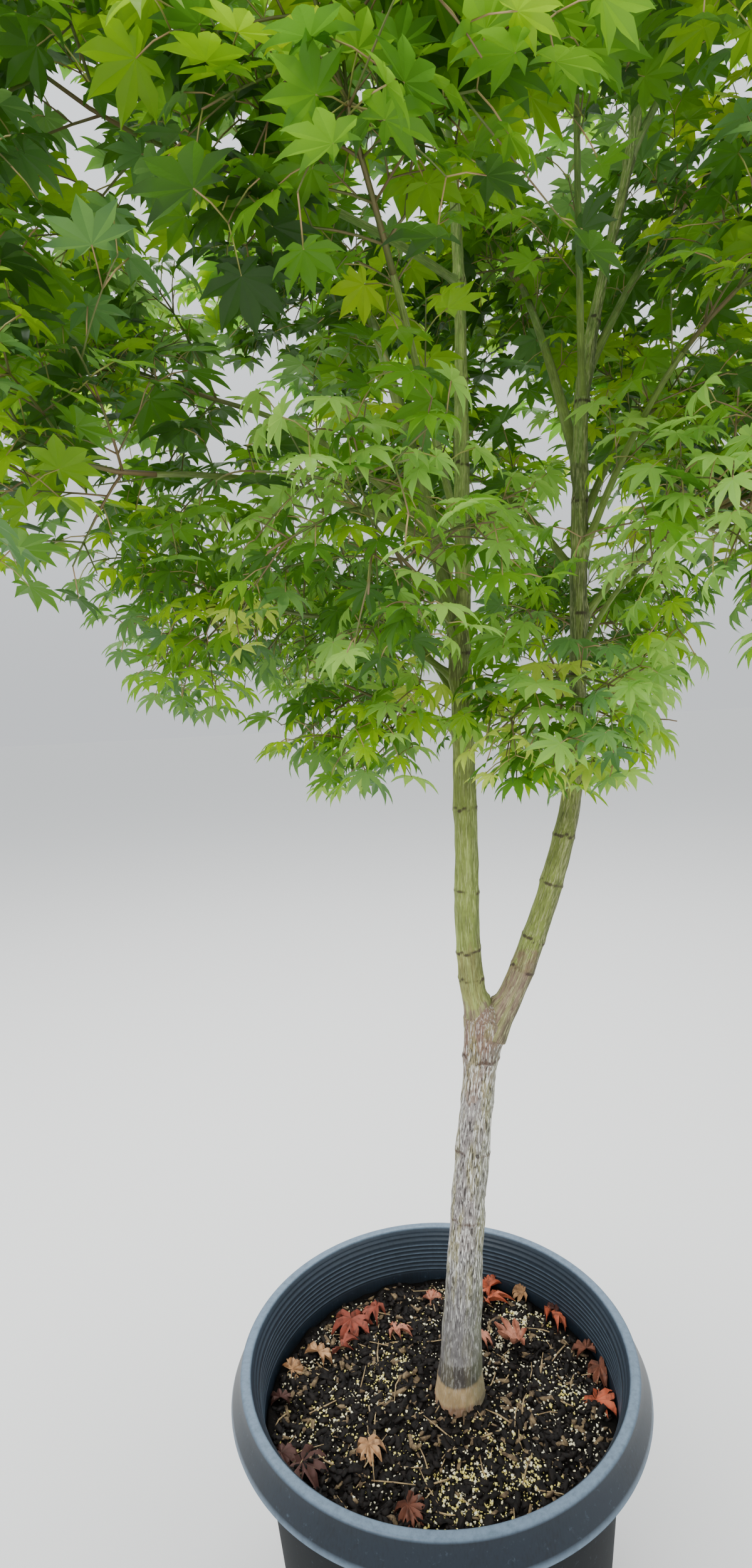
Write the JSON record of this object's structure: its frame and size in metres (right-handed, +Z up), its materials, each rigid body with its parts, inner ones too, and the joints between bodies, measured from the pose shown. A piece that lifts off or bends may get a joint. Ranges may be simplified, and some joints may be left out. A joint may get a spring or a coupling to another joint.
{
  "type": "potted japanese maple tree",
  "caption": "Young Japanese maple in a black nursery pot, its trunk forked into two stems that carry slim boughs and open masses of green lobed leaves.",
  "frame": {"origin": "middle of the pot's flat underside", "axes": "+Z up, +X to the right of the plant seen from its front, -Y towards the front"},
  "size_m": [1.507, 1.1786, 3.0695],
  "materials": {
    "pot_plastic": "satin",
    "potting_mix": "matte",
    "trunk_bark": "matte",
    "stem_bark": "matte",
    "bough_bark": "satin",
    "leaves_low": "satin",
    "leaves_middle": "satin",
    "leaves_high": "satin"
  },
  "bodies": {
    "root": {"back_left_low_bough": "bough_bark", "back_left_low_leaves": "leaves_low", "back_middle_bough": "bough_bark", "back_middle_leaves": "leaves_middle", "back_right_bough": "bough_bark", "back_right_leaves": "leaves_middle", "front_left_bough": "bough_bark", "front_left_leaves": "leaves_middle", "front_middle_bough": "bough_bark", "front_middle_leaves": "leaves_middle", "front_right_bough": "bough_bark", "front_right_leaves": "leaves_low", "high_back_bough": "bough_bark", "high_back_leaves": "leaves_high", "high_front_bough": "bough_bark", "high_front_leaves": "leaves_high", "high_left_bough": "bough_bark", "high_left_leaves": "leaves_high", "high_right_back_bough": "bough_bark", "high_right_back_leaves": "leaves_high", "high_right_bough": "bough_bark", "high_right_front_bough": "bough_bark", "high_right_front_leaves": "leaves_high", "high_right_leaves": "leaves_high", "left_back_bough": "bough_bark", "left_back_leaves": "leaves_middle", "left_low_bough": "bough_bark", "left_low_leaves": "leaves_low", "left_side_bough": "bough_bark", "left_side_leaves": "leaves_middle", "left_stem": "stem_bark", "left_top_leaves": "leaves_high", "long_left_bough": "bough_bark", "long_left_leaves": "leaves_middle", "low_back_bough": "bough_bark", "low_back_leaves": "leaves_low", "low_front_bough": "bough_bark", "low_front_leaves": "leaves_low", "low_left_bough": "bough_bark", "low_left_leaves": "leaves_low", "low_right_bough": "bough_bark", "low_right_leaves": "leaves_low", "pot": "pot_plastic", "potting_mix": "potting_mix", "right_back_bough": "bough_bark", "right_back_leaves": "leaves_middle", "right_front_bough": "bough_bark", "right_front_leaves": "leaves_middle", "right_low_bough": "bough_bark", "right_low_leaves": "leaves_middle", "right_stem": "stem_bark", "right_top_leaves": "leaves_high", "right_upper_bough": "bough_bark", "right_upper_leaves": "leaves_middle", "trunk": "trunk_bark", "upper_left_bough": "bough_bark", "upper_left_leaves": "leaves_middle"}
  },
  "joints": []
}
